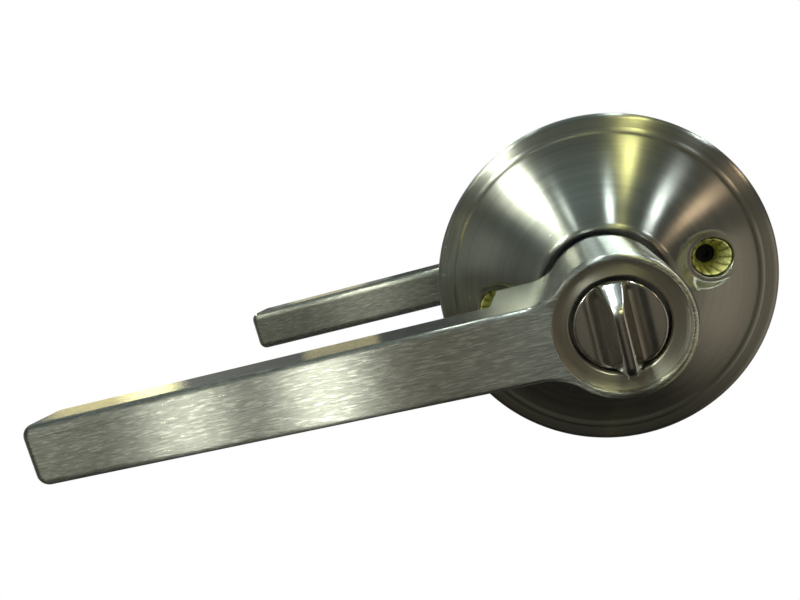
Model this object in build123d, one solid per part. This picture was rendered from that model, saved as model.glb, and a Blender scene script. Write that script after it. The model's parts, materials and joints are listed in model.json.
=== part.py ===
from build123d import *
import math
import os

# Privacy lever set for a door: a round sprung rose and a lever on each face.
# Frame: the spindle lies along Y, +Z is up and both levers point to -X.
# The origin is on the spindle axis at the inner door face, the inner side is -Y
# and the outer side is the mirror image about the middle of the door gap.
# The set is closed up on its bolts; the outer half slides out along +Y to suit
# the door, while spindle, privacy rod, bolts and posts stay engaged.

# ---- driving dimensions, mm ----
door = 22.0  # gap between the two door faces, closed up on the bolts
rose_r = 35.0  # rose outside radius
rose_wall = 0.9  # sheet thickness
crease_r = 30.8  # flat rim band ends here
crease_y = -4.2
collar_r = 13.45  # lip of the rose collar
lip_in_r = 12.5
lip_y = -19.5
face_y = -49.0  # front face of hub and lever
hub_r = 11.4
bar_half = 6.1  # half height of the lever bar
bar_back = -37.0
bar_round = 2.3  # rounding along the back of the bar
tip_round = 2.4  # corners of the bar's tip
root_x = -19.8  # where the deep root of the lever ends
root_back = -22.0
tip_x = -110.6
blend_r = 8.0  # concave sweep from bar to hub
edge_r = 0.8
shank_r = 8.0
shank_end = -5.4
insert_r = 10.3
insert_y = -47.7
insert_t = 1.8
button_hole_r = 7.75
button_r = 7.1
ridge_y = -52.2  # crest of the grip ridge
ridge_end = 7.4
spindle_side = 8.0
spindle_bore_r = 2.7
rod_w = 3.4
rod_t = 2.0
screw_x = 22.25  # through bolts, each side of the spindle
screw_hole_r = 4.1
seat_r = 5.3
seat_y = -6.2
cup_mouth = -5.4  # open end of the screw cups
cup_r = 3.85
neck_r = 2.9  # neck of the cup, through the plate
throat_r = 2.0
throat_y = 0.8  # the funnel narrows to the throat here
neck_end = 5.0
bolt_r = 1.5  # M3 socket-head bolts
bolt_end = 26.8
post_r = 3.6
post_end = 5.3
plate_r = 34.0
plate_t = 1.5
housing_r = 16.2
housing_y = -9.3
wall = 1.2
ring_y = -7.9  # retaining ring, front face
ring_t = 1.0
spring_r = 12.0
wire = 1.4
leg_angle = 9.0  # spring legs either side of the lugs, degrees
swing = 50.0  # lever travel each way, degrees
stop_r = 10.5  # radius of the stop peg
peg_r = 1.4
grub_y = -22.6
rivet_z = 20.5  # rivets of the spring housing


# ---- helpers ----
def along(sketch, y_back, y_front):
    """Extrude an X-Z sketch from y_back (door side) to y_front."""
    return extrude(Plane.XZ.offset(-y_back) * sketch, amount=y_back - y_front)


def disc(radius, y_back, y_front):
    return along(Circle(radius), y_back, y_front)


def ring(outer, inner, y_back, y_front):
    return along(Circle(outer) - Circle(inner), y_back, y_front)


def at(x, z, solid):
    return Pos(x, 0, z) * solid


def spun(*edges):
    """Solid of revolution about the spindle axis from a half profile."""
    return revolve(make_face(Curve() + list(edges)), Axis.Y, 360)


def sector(radius, start, stop):
    """Pie slice in the X-Z plane, angles from +X towards +Z."""
    mid = math.radians((start + stop) / 2)
    a = math.radians(start)
    b = math.radians(stop)
    p = (radius * math.cos(a), radius * math.sin(a))
    m = (radius * math.cos(mid), radius * math.sin(mid))
    q = (radius * math.cos(b), radius * math.sin(b))
    return make_face([Line((0, 0), p), ThreePointArc(p, m, q), Line(q, (0, 0))])


def mirrored(solid):
    return mirror(solid, Plane(origin=(0, door / 2, 0), x_dir=(1, 0, 0), z_dir=(0, 1, 0)))


# ---- rose ----
def rose_body():
    """Full outer form of the rose, from door face to collar lip."""
    return spun(
        Line((0, 0), (rose_r, 0)),
        Line((rose_r, 0), (rose_r, -2.8)),
        ThreePointArc((rose_r, -2.8), (34.6, -3.75), (33.7, -4.1)),
        Line((33.7, -4.1), (crease_r, crease_y)),
        ThreePointArc((crease_r, crease_y), (20.5, -8.9), (14.2, -17.0)),
        Line((14.2, -17.0), (collar_r, -19.1)),
        ThreePointArc((collar_r, -19.1), (12.95, lip_y), (lip_in_r, -19.1)),
        Line((lip_in_r, -19.1), (0, -19.1)),
        Line((0, -19.1), (0, 0)),
    )


def rose_hollow():
    """Inside of the spun sheet."""
    return spun(
        Line((0, 1), (rose_r - rose_wall, 1)),
        Line((rose_r - rose_wall, 1), (rose_r - rose_wall, -2.7)),
        Line((rose_r - rose_wall, -2.7), (33.3, -3.2)),
        Line((33.3, -3.2), (crease_r, crease_y + rose_wall)),
        ThreePointArc((crease_r, crease_y + rose_wall), (19.9, -8.25), (13.35, -16.75)),
        Line((13.35, -16.75), (lip_in_r, -18.4)),
        Line((lip_in_r, -18.4), (lip_in_r, -20)),
        Line((lip_in_r, -20), (0, -20)),
        Line((0, -20), (0, 1)),
    )


def rose(with_holes):
    form = rose_body()
    shell = form - rose_hollow()
    if with_holes:
        for x in (screw_x, -screw_x):
            boss = at(x, 0, disc(seat_r + 0.6, seat_y + rose_wall, -16.0))
            shell = shell + (boss & form)
            shell = shell - at(x, 0, disc(seat_r, seat_y, -18.0))
            shell = shell - at(x, 0, disc(screw_hole_r, 0.0, -18.0))
        # the seat bosses may not close the lever passage
        shell = shell - disc(lip_in_r, 0.0, -20.0)
    return shell


# ---- lever ----
def hub_outline(x_end):
    """Hub circle with the concave sweeps that carry it into the bar."""
    reach = math.sqrt((hub_r + blend_r) ** 2 - (bar_half + blend_r) ** 2)
    cx = -reach
    cz = bar_half + blend_r
    scale = hub_r / (hub_r + blend_r)
    high = (cx * scale, cz * scale)
    low = (high[0], -high[1])
    aim = math.atan2(high[1] - cz, high[0] - cx)
    middle = (aim - math.pi / 2) / 2
    mx = cx + blend_r * math.cos(middle)
    mz = cz + blend_r * math.sin(middle)
    return make_face(
        [
            Line((x_end, bar_half), (cx, bar_half)),
            ThreePointArc((cx, bar_half), (mx, mz), high),
            ThreePointArc(high, (hub_r, 0), low),
            ThreePointArc(low, (mx, -mz), (cx, -bar_half)),
            Line((cx, -bar_half), (x_end, -bar_half)),
            Line((x_end, -bar_half), (x_end, bar_half)),
        ]
    )


def lever_bar():
    """Straight rectangular bar, rounded at its tip and along its back."""
    length = -14.5 - tip_x
    bar = along(Pos(tip_x + length / 2, 0) * Rectangle(length, 2 * bar_half), bar_back, face_y)
    bar = fillet(bar.edges().filter_by(Axis.Y).group_by(Axis.X)[0], tip_round)
    rear = bar.faces().sort_by(Axis.Y)[-1].outer_wire().edges()
    rear = [e for e in rear if e.center().X < -15]
    return fillet(rear, bar_round)


def lever_blank():
    root = along(hub_outline(root_x), root_back, face_y)
    heel = root.edges().filter_by(Axis.Y).group_by(Axis.X)[0]
    root = fillet(heel, 0.6)
    root = root - along(Pos(root_x, 0) * Rectangle(1.4, 14), bar_back, face_y - 1)
    blank = lever_bar() + root
    front = blank.faces().sort_by(Axis.Y)[0].outer_wire().edges()
    blank = fillet(front, edge_r)
    neck = disc(hub_r, -18.3, root_back)
    shank = disc(shank_r, shank_end, -18.3)
    return blank + neck + shank


def lever(bore_end):
    """Lever with its counterbores and a square bore that ends at bore_end."""
    body = lever_blank()
    body = body - disc(insert_r, insert_y + insert_t, face_y - 1)
    body = body - disc(8.7, -43.9, insert_y)
    if bore_end > -40:
        body = body - disc(4.6, bore_end + 0.1, -44.5)
    body = body - along(Rectangle(spindle_side + 0.1, spindle_side + 0.1), 0.0, bore_end)
    body = body - ring(shank_r + 1, shank_r - 0.8, ring_y + ring_t + 0.05, ring_y - 0.05)
    grub = Pos(0, grub_y, -8) * Cylinder(2.5, 12)
    return body - grub


def hub_insert(hole_r):
    """Recessed annular plate that closes the front of the hub."""
    return ring(insert_r, hole_r, insert_y + insert_t, insert_y)


def set_screw():
    """Grub screw with a hexagon socket, up through the underside of the hub."""
    body = Pos(0, grub_y, -7.4) * Cylinder(2.45, 6.6)
    key = Pos(0, grub_y, -10.7) * extrude(RegularPolygon(1.25, 6), amount=2.4)
    return body - key


def wave_washer():
    return ring(10.6, 8.15, -17.85, -18.2)


# ---- sprung bearing behind the rose ----
def bushing():
    return ring(9.6, 8.06, -8.1, -17.0) + ring(11.1, 8.06, -17.0, -17.75)


def retaining_ring():
    band = ring(10.5, 7.25, ring_y + ring_t, ring_y)
    return band - along(Pos(0, 9) * Rectangle(5.0, 6.5), ring_y + ring_t, ring_y)


def spring_housing():
    """Pressed cup with a bearing tube, fixed lug and two riveted ears."""
    cup = ring(housing_r, housing_r - wall, -plate_t, housing_y)
    cup = cup + ring(housing_r, 9.65, housing_y + wall, housing_y)
    cup = cup + ring(11.1, 9.65, housing_y, -17.0)
    lug = along(sector(housing_r - 0.5, 264.5, 275.5) - Circle(14.15), -plate_t, housing_y + 0.5)
    cup = cup + lug
    for z in (rivet_z, -rivet_z):
        ear = along(Pos(0, z * 0.95) * RectangleRounded(8.0, 9.0, 1.5), -plate_t, -2.7)
        ear = ear - disc(housing_r - 0.5, 0.0, -3.0)
        cup = cup + ear
        cup = cup - at(0, z, disc(1.5, 0.0, -4.0))
    return cup


def return_spring():
    """Torsion spring with two radial legs that clip the fixed lug and the driver."""
    pitch = 1.5
    turns = 2 + 2 * leg_angle / 360
    y_start = -3.9
    coil = Helix(pitch=pitch, height=pitch * turns, radius=spring_r)
    start = 270 - leg_angle
    path = Pos(0, y_start, 0) * Rot(90, 0, 0) * Rot(0, 0, start) * coil
    where = Plane(origin=path @ 0, z_dir=path % 0)
    body = sweep(where * Circle(wire / 2), path=path, is_frenet=True)
    for t in (0, 1):
        tip = path @ t
        flat = Vector(tip.X, 0, tip.Z).normalized()
        root = Vector(tip.X, tip.Y, tip.Z) - flat * 0.3
        leg = Plane(origin=root, z_dir=flat)
        body = body + extrude(leg * Circle(wire / 2), amount=3.1)
    return body


def driver():
    """Cam on the spindle: finger for the spring and a peg for the end stops."""
    body = disc(9.3, -1.9, -5.2)
    arm = along(sector(13.85, 264.5, 275.5), -1.9, -3.0)
    finger = along(sector(13.85, 264.5, 275.5) - Circle(13.0), -1.9, -7.6)
    bridge = along(sector(12.4, 75, 105), -1.9, -3.0)
    peg = at(0, stop_r, disc(peg_r, -0.2, -2.5))
    body = body + arm + finger + bridge + peg
    return body - along(Rectangle(spindle_side + 0.1, spindle_side + 0.1), 0.0, -6.0)


def mounting_plate(hole_r):
    """Flat plate on the door face, slotted for the driver's stop peg."""
    body = disc(plate_r, 0.0, -plate_t)
    body = body - disc(7.6, 1.0, -3.0)
    extra = math.degrees(math.asin((peg_r + 0.1) / stop_r))
    slot_in = stop_r - peg_r - 0.2
    slot_out = stop_r + peg_r + 0.2
    slot = sector(slot_out, 90 - swing - extra, 90 + swing + extra) - Circle(slot_in)
    body = body - along(slot, 1.0, -3.0)
    for x in (screw_x, -screw_x):
        body = body - at(x, 0, disc(hole_r, 1.0, -3.0))
    for z in (rivet_z, -rivet_z):
        body = body - at(0, z, disc(1.5, 1.0, -3.0))
    return body


def housing_rivets():
    body = None
    for z in (rivet_z, -rivet_z):
        shank = at(0, z, disc(1.45, -0.1, -3.2))
        taper = Cone(2.3, 1.5, 1.0, align=(Align.CENTER, Align.CENTER, Align.MIN))
        head = Pos(0, -2.7, z) * Rot(90, 0, 0) * taper
        body = shank + head if body is None else body + shank + head
    return body


# ---- through fixings ----
def screw_cups():
    """Flared sleeves in the rose, notched round the mouth, that hold the bolt heads."""
    cups = []
    depth = throat_y - cup_mouth
    for x in (screw_x, -screw_x):
        cup = disc(cup_r, -plate_t, cup_mouth) + disc(neck_r, neck_end, -plate_t)
        cup = cup - disc(throat_r, neck_end - 1.0, cup_mouth - 1)
        cup = cup - disc(bolt_r + 0.05, neck_end + 1.0, 0.0)
        funnel = Cone(throat_r, 3.6, depth, align=(Align.CENTER, Align.CENTER, Align.MIN))
        cup = cup - Pos(0, throat_y, 0) * Rot(90, 0, 0) * funnel
        for k in range(12):
            notch = Rot(0, 15 + 30 * k, 0) * Pos(2.95, cup_mouth + 0.35, 0) * Box(1.5, 0.9, 0.3)
            cup = cup - notch
        cups.append(at(x, 0, cup))
    return cups[0] + cups[1]


def through_bolts():
    """Socket-head screws sunk in the throats of the cups."""
    bolts = []
    for x in (screw_x, -screw_x):
        bolt = disc(throat_r - 0.05, neck_end - 1.0, 2.0) + disc(bolt_r, bolt_end, 3.0)
        bolt = bolt - along(RegularPolygon(1.1, 6), 3.2, 1.0)
        tail = bolt.edges().group_by(Axis.Y)[-1]
        bolt = chamfer(tail, 0.4)
        bolts.append(at(x, 0, bolt))
    return bolts[0] + bolts[1]


def threaded_posts():
    """Bosses riveted to the outer plate that take the through bolts."""
    posts = []
    for x in (screw_x, -screw_x):
        post = disc(post_r, door + plate_t, post_end)
        post = post + disc(post_r + 1.0, door + plate_t + 0.8, door + plate_t)
        post = post - disc(bolt_r + 0.05, bolt_end + 6.0, post_end - 1)
        posts.append(at(x, 0, post))
    return posts[0] + posts[1]


def spindle():
    """Square tube that both levers clamp on, bored for the privacy rod."""
    tube = along(Rectangle(spindle_side, spindle_side), door + 43.7, -38.0)
    tube = chamfer(tube.edges().filter_by(Axis.Y), 0.5)
    return tube - disc(spindle_bore_r, door + 45.0, -40.0)


# ---- privacy turn button ----
def grip_ridge():
    """Tapered ridge with an upright nose below and a sloping end above."""
    crest = 0.9
    foot = 1.9
    section = extrude(
        Plane.XY.offset(-ridge_end)
        * make_face(
            [
                Line((-foot, -46.5), (-crest, ridge_y + 0.2)),
                ThreePointArc((-crest, ridge_y + 0.2), (0, ridge_y - 0.1), (crest, ridge_y + 0.2)),
                Line((crest, ridge_y + 0.2), (foot, -46.5)),
                Line((foot, -46.5), (-foot, -46.5)),
            ]
        ),
        amount=2 * ridge_end,
    )
    side = Plane.YZ.offset(-3) * make_face(
        [
            Line((-46.5, -8), (-53.0, -8)),
            Line((-53.0, -8), (-53.0, 2.7)),
            Line((-53.0, 2.7), (-48.4, 7.1)),
            Line((-48.4, 7.1), (-46.5, 7.1)),
            Line((-46.5, 7.1), (-46.5, -8)),
        ]
    )
    return section & extrude(side, amount=6) & disc(ridge_end, -46.5, -53.0)


def turn_button():
    """Round button with a grip ridge between two scooped troughs."""
    body = disc(button_r, -45.0, -48.0)
    for side in (1, -1):
        trough = Pos(side * 2.6, -49.5, 0) * Cylinder(2.6, 20)
        body = body - trough
    body = body + disc(8.2, -44.75, insert_y + insert_t + 0.05)
    body = body + grip_ridge()
    stem = disc(4.2, -39.0, -44.9)
    body = body + stem
    return body - along(Rectangle(rod_w + 0.1, rod_t + 0.1), -38.0, -43.0)


def turn_button_washer():
    return ring(8.0, 4.7, -44.0, -44.5)


def privacy_rod():
    return along(Rectangle(rod_w, rod_t), door + 44.5, -42.6)


def emergency_release():
    """Slotted head in the outer hub, with a long sleeve the privacy rod slides in."""
    body = disc(2.9, door + 47.0, door + 44.2)
    body = body + disc(5.0, door + 45.7, door + 44.2)
    body = body + disc(spindle_bore_r - 0.08, door + 44.3, door + 22.0)
    body = body - along(Rectangle(rod_w + 0.1, rod_t + 0.1), door + 44.6, door + 20.0)
    return body - Pos(0, door + 46.8, 0) * Box(5.8, 1.2, 1.0)


def exterior_lever():
    return mirrored(lever(-44.0))


def exterior_insert():
    return mirrored(hub_insert(3.2))


# ---- all sub-parts ----
nodes = {
    "interior_rose": rose(True),
    "interior_mounting_plate": mounting_plate(neck_r + 0.05),
    "interior_spring_housing": spring_housing(),
    "interior_housing_rivets": housing_rivets(),
    "interior_bushing": bushing(),
    "interior_return_spring": return_spring(),
    "interior_driver": driver(),
    "interior_retaining_ring": retaining_ring(),
    "interior_wave_washer": wave_washer(),
    "interior_lever": lever(-38.5),
    "interior_hub_insert": hub_insert(button_hole_r),
    "interior_set_screw": set_screw(),
    "turn_button": turn_button(),
    "turn_button_washer": turn_button_washer(),
    "privacy_rod": privacy_rod(),
    "emergency_release": emergency_release(),
    "spindle": spindle(),
    "screw_cups": screw_cups(),
    "through_bolts": through_bolts(),
    "threaded_posts": threaded_posts(),
    "exterior_rose": mirrored(rose(False)),
    "exterior_mounting_plate": mirrored(mounting_plate(post_r + 0.05)),
    "exterior_spring_housing": mirrored(spring_housing()),
    "exterior_housing_rivets": mirrored(housing_rivets()),
    "exterior_bushing": mirrored(bushing()),
    "exterior_return_spring": mirrored(return_spring()),
    "exterior_driver": mirrored(driver()),
    "exterior_retaining_ring": mirrored(retaining_ring()),
    "exterior_wave_washer": mirrored(wave_washer()),
    "exterior_lever": exterior_lever(),
    "exterior_hub_insert": exterior_insert(),
    "exterior_set_screw": mirrored(set_screw()),
}

os.makedirs("parts", exist_ok=True)
for name, solid in nodes.items():
    export_step(solid, f"parts/{name}.step")
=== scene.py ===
import bpy
import bmesh
import json
import math
from mathutils import Matrix, Vector


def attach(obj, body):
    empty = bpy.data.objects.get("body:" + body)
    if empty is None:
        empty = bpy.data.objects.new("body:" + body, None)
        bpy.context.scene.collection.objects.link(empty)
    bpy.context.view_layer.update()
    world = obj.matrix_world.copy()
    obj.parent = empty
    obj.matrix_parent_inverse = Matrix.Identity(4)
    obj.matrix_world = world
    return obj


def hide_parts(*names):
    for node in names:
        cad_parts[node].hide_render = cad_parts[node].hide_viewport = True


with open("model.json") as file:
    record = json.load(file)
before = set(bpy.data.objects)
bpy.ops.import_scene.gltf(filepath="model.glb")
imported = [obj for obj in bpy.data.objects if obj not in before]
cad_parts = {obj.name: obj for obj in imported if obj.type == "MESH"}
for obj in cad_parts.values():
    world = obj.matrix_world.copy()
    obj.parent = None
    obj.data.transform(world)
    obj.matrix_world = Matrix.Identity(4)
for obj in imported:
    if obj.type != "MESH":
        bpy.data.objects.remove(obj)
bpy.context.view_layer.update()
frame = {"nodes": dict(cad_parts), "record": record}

# Meshes are built in millimetres. The spindle axis is Y, the back of the inner rose is at y = 0,
# the inner side is -Y and both levers point to -X. Outer pieces are made as inner ones, then
# mirrored about the plane halfway between the roses.
MM = 0.001
DOOR = 22.0  # between the backs of the two roses
FILLET_STEPS = 6

# ------------------------------------------------------------------ geometry helpers


def ease(t):
    """Smooth step from 0 to 1, level at both ends."""
    t = min(1.0, max(0.0, t))
    return t * t * (3 - 2 * t)


def circle(count):
    """Points of a unit circle."""
    turns = [2 * math.pi * k / count for k in range(count)]
    return [(math.cos(a), math.sin(a)) for a in turns]


def fillet_path(points, closed=True):
    """Rounds the corners of a polyline given as (u, v, radius)."""
    out = []
    count = len(points)
    for i, (u, v, radius) in enumerate(points):
        here = Vector((u, v))
        if radius <= 0 or (not closed and i in (0, count - 1)):
            out.append((u, v))
            continue
        before = Vector(points[i - 1][:2])
        after = Vector(points[(i + 1) % count][:2])
        a = (before - here).normalized()
        b = (after - here).normalized()
        half = a.angle(b) / 2
        reach = radius / math.tan(half)
        centre = here + (a + b).normalized() * (radius / math.sin(half))
        start = here + a * reach - centre
        stop = here + b * reach - centre
        turn = math.atan2(start.x * stop.y - start.y * stop.x, start.dot(stop))
        for k in range(FILLET_STEPS + 1):
            t = turn * k / FILLET_STEPS
            c, s = math.cos(t), math.sin(t)
            out.append((centre.x + c * start.x - s * start.y, centre.y + s * start.x + c * start.y))
    return out


def bridge(bm, a, b, closed=True):
    """Quads between two rows with the same number of vertices."""
    n = len(a)
    for i in range(n if closed else n - 1):
        j = (i + 1) % n
        bm.faces.new((a[i], a[j], b[j], b[i]))


def add_object(name, data):
    obj = bpy.data.objects.new(name, data)
    bpy.context.scene.collection.objects.link(obj)
    return obj


def smooth(mesh, sharp=None):
    """Smooth shading, broken at edges over the sharp angle in degrees."""
    for p in mesh.polygons:
        p.use_smooth = True
    if sharp is not None:
        mesh.set_sharp_from_angle(angle=math.radians(sharp))


def weigh_normals(obj):
    obj.modifiers.new("weighted", "WEIGHTED_NORMAL").keep_sharp = True


def finish_mesh(name, bm, sharp=35.0, flip=False, weighted=True):
    """Turns a bmesh in millimetres into an object in metres, mirrored to the outer side by flip."""
    bmesh.ops.remove_doubles(bm, verts=bm.verts, dist=0.0005)
    bmesh.ops.recalc_face_normals(bm, faces=bm.faces)
    for v in bm.verts:
        if flip:
            v.co.y = DOOR - v.co.y
        v.co *= MM
    if flip:
        bmesh.ops.reverse_faces(bm, faces=bm.faces)
    mesh = bpy.data.meshes.new(name)
    bm.to_mesh(mesh)
    bm.free()
    smooth(mesh, sharp)
    obj = add_object(name, mesh)
    if weighted:
        weigh_normals(obj)
    return obj


def lathe(name, profile, steps=192, x=0.0, flip=False, sharp=35.0, wobble=None):
    """Closed section in (radius, y), turned about an axis along Y at x; wobble shapes each ring."""
    bm = bmesh.new()
    rings = []
    for r, y in profile:
        ring = []
        for j in range(steps):
            a = 2 * math.pi * j / steps
            rr, yy = wobble(r, y, a) if wobble else (r, y)
            ring.append(bm.verts.new((x + rr * math.cos(a), yy, rr * math.sin(a))))
        rings.append(ring)
    for i, ring in enumerate(rings):
        bridge(bm, ring, rings[(i + 1) % len(rings)])
    return finish_mesh(name, bm, sharp, flip)


# ------------------------------------------------------------------ rose

# Radii from the spindle axis, and heights off the door face.
CREASE_R, CREASE_H = 30.8, 4.2  # the flat rim band ends here
FLARE_R, FLARE_H = 20.5, 8.9  # a point on the hollow flank
COLLAR_R, COLLAR_H = 14.2, 17.0
SHEET = 0.9
HOLE_X = 22.25  # screw holes, each side of the spindle
HOLE_R = 4.1
SEAT_R, SEAT_H = 5.3, 6.2  # dished seat round each hole
SEAT_SLOPE = 3.2
SEAT_BLEND = 0.8
ROSE_STEPS = 288
ROW_GAP = 0.34  # between the rows of the cone's grid
PATCH_STEPS = 15  # half width of the patch round a hole, in steps
PATCH_INNER, PATCH_OUTER = 15.9, 28.9  # the patch lies between these radii
PATCH_ROWS = [(0.66, 6.3), (0.33, 6.3)]  # share of the way out to the patch's edge, round radius
PATCH_ROWS += [(0.0, r) for r in (6.3, 6.1, 5.95, 5.8, 5.65, 5.5, 5.35, 5.2, 5.0, 4.75, 4.5, 4.32)]
HOLE_EDGE = [(4.22, 0.04), (4.14, 0.12), (4.1, 0.24)]  # radius and depth of the rounded edge
RIM = [  # radius, height and rounding, from the crease round the rim to the inside
    (30.95, 4.21, 0),
    (31.3, 4.38, 0.3),
    (31.7, 4.37, 0.3),
    (32.2, 4.2, 0.4),
    (34.99, 4.1, 1.15),
    (34.99, 0.0, 0.12),
    (34.1, 0.0, 0.1),
    (34.1, 3.3, 0.3),
    (CREASE_R, 3.3, 0),
]
BEAD = [  # rolled bead of the collar, from the cone's outside to its inside
    (COLLAR_R, COLLAR_H, 0),
    (13.72, 18.15, 0.25),
    (13.86, 19.48, 0.6),
    (12.5, 19.48, 0.55),
    (12.5, 17.9, 0),
    (13.2, 16.9, 0),
    (COLLAR_R, COLLAR_H - SHEET, 0),
]


def circle_through(p, q, r):
    """Centre and radius of the circle through three points."""
    ax, ay = p
    bx, by = q
    cx, cy = r
    a2, b2, c2 = ax**2 + ay**2, bx**2 + by**2, cx**2 + cy**2
    d = 2 * (ax * (by - cy) + bx * (cy - ay) + cx * (ay - by))
    ux = (a2 * (by - cy) + b2 * (cy - ay) + c2 * (ay - by)) / d
    uy = (a2 * (cx - bx) + b2 * (ax - cx) + c2 * (bx - ax)) / d
    return ux, uy, math.hypot(ax - ux, ay - uy)


FLANK = circle_through((CREASE_R, CREASE_H), (FLARE_R, FLARE_H), (COLLAR_R, COLLAR_H))


def soft_min(a, b, k):
    """The smaller of a and b, blended where they are closer than k."""
    h = max(k - abs(a - b), 0.0) / k
    return min(a, b) - h * h * k * 0.25


def rose_height(x, z, holes):
    """Height of the flared cone off the door, with a dished seat round each screw hole."""
    cx, cy, rad = FLANK
    height = cy - math.sqrt(max(0.0, rad * rad - (cx - math.hypot(x, z)) ** 2))
    if holes:
        d = min(math.hypot(x - HOLE_X, z), math.hypot(x + HOLE_X, z))
        wall = SEAT_H + max(0.0, d - SEAT_R + 0.15) * SEAT_SLOPE
        height = soft_min(height, wall, SEAT_BLEND)
    return height


def cone_radii():
    radii = []
    r = CREASE_R
    while r > COLLAR_R + 0.05:
        radii.append(r)
        r -= ROW_GAP
    return radii + [COLLAR_R]


def cone_skin(bm, radii, holes, sink):
    """One side of the cone's sheet: its grid, and the loop at each screw hole as (x, vertices)."""
    inner = next(i for i, r in enumerate(radii) if r < PATCH_INNER)
    outer = next(i for i, r in enumerate(radii) if r < PATCH_OUTER)
    half_turn = ROSE_STEPS // 2
    grid = {}

    def point(x, z):
        return bm.verts.new((x, sink - rose_height(x, z, holes), z))

    def in_patch(j):
        """Whether step j is beside a screw hole."""
        k = j % half_turn
        return min(k, half_turn - k) < PATCH_STEPS

    for i, rad in enumerate(radii):
        for j in range(ROSE_STEPS):
            if not (holes and outer < i < inner and in_patch(j)):
                a = 2 * math.pi * j / ROSE_STEPS
                grid[i, j] = point(rad * math.cos(a), rad * math.sin(a))
    for i in range(len(radii) - 1):
        for j in range(ROSE_STEPS):
            if holes and outer <= i < inner and in_patch(j + 0.5):
                continue
            k = (j + 1) % ROSE_STEPS
            bm.faces.new((grid[i, j], grid[i, k], grid[i + 1, k], grid[i + 1, j]))
    loops = []
    for side, centre in ((0, HOLE_X), (half_turn, -HOLE_X)) if holes else ():
        walk = [(outer, side + t) for t in range(-PATCH_STEPS, PATCH_STEPS)]
        walk += [(i, side + PATCH_STEPS) for i in range(outer, inner)]
        walk += [(inner, side + t) for t in range(PATCH_STEPS, -PATCH_STEPS, -1)]
        walk += [(i, side - PATCH_STEPS) for i in range(inner, outer, -1)]
        edge = [grid[i, j % ROSE_STEPS] for i, j in walk]
        last = edge
        for share, radius in PATCH_ROWS:
            ring = []
            for v in edge:
                dx, dz = v.co.x - centre, v.co.z
                dist = math.hypot(dx, dz)
                d = radius + (dist - radius) * share
                ring.append(point(centre + dx / dist * d, dz / dist * d))
            bridge(bm, last, ring)
            last = ring
        loops.append((centre, last))
    return grid, loops


def hole_wall(bm, centre, up, down):
    """Rounded edge and wall of a screw hole, between its loops on the two skins."""

    def ring_of(loop, radius, drop):
        ring = []
        for v in loop:
            dx, dz = v.co.x - centre, v.co.z
            d = math.hypot(dx, dz)
            at = (centre + dx / d * radius, v.co.y + drop, dz / d * radius)
            ring.append(bm.verts.new(at))
        return ring

    last = up
    for radius, drop in HOLE_EDGE:
        ring = ring_of(up, radius, drop)
        bridge(bm, last, ring)
        last = ring
    wall = ring_of(down, HOLE_R, 0.0)
    bridge(bm, last, wall)
    bridge(bm, wall, down)


def rose(name, holes, flip):
    """Spun rose: flared cone, dished screw seats, rim band and rolled collar bead."""
    bm = bmesh.new()
    radii = cone_radii()
    top, top_loops = cone_skin(bm, radii, holes, 0.0)
    low, low_loops = cone_skin(bm, radii, holes, SHEET)
    for (centre, up), (_, down) in zip(top_loops, low_loops):
        hole_wall(bm, centre, up, down)
    rim = fillet_path(RIM, closed=False)[:-1]
    bead = fillet_path(BEAD, closed=False)[1:-1]
    for points, row in ((rim, 0), (bead, len(radii) - 1)):
        last = [top[row, j] for j in range(ROSE_STEPS)]
        for r, h in points:
            ring = [bm.verts.new((r * c, -h, r * s)) for c, s in circle(ROSE_STEPS)]
            bridge(bm, last, ring)
            last = ring
        bridge(bm, last, [low[row, j] for j in range(ROSE_STEPS)])
    return finish_mesh(name, bm, 42.0, flip, weighted=False)


# ------------------------------------------------------------------ lever

FACE = -49.0  # front face of hub and bar
BAR_BACK = -37.0
BAR_ROUND = 2.3  # rounding along the back of the bar
TIP_X = -110.6
TIP_ROUND = 2.4  # corners of the tip
TIP_STEPS = 9
ROOT_X = -19.8  # heel of the deep root
ROOT_BACK = -22.0
HUB_R = 11.4
HUB_STEPS = 120
HALF = 6.1  # half height of the bar
BLEND = 8.0  # concave sweep from bar to hub
BLEND_STEPS = 24
EDGE, TIP_EDGE = 0.7, 1.7  # rounding of the front edge, along the bar and round the tip
TIP_EDGE_FROM, TIP_EDGE_RUN = TIP_X + 6.0, 5.0  # x where it starts to grow, and over how far
EDGE_STEPS = 8
CROWN = 0.14  # fall of the crowned margin
CROWN_WIDTH, RIM_CROWN = 1.1, 0.16  # its width on the bar and on the hub's thin rim
RIM_CROWN_FROM, RIM_CROWN_RUN = -26.0, 11.0  # x where it starts to narrow, and over how far
CROWN_STEPS = 5
HIDDEN_STEPS = 48  # part of the hub that stands behind the root
INSERT_R, INSERT_Y = 10.3, -47.7
BORE_LIP = 0.16
BORE_R = 5.6
BORE_STEPS = 144
COUNTERBORE = [(INSERT_R, -45.9), (8.7, -45.9), (8.7, -43.9), (BORE_R, -43.9)]  # radius, y
SHANK = [  # radius and y, from the back of the hub to the end of the shank
    (11.4, -18.6),
    (11.3, -18.38),
    (11.1, -18.3),
    (8.0, -18.3),
    (8.0, -5.5),
    (7.9, -5.4),
    (BORE_R, -5.4),
]
GRUB_Y, GRUB_Z, GRUB_R, GRUB_LENGTH = -22.6, -12.0, 2.5, 7.0  # set screw's hole


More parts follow.
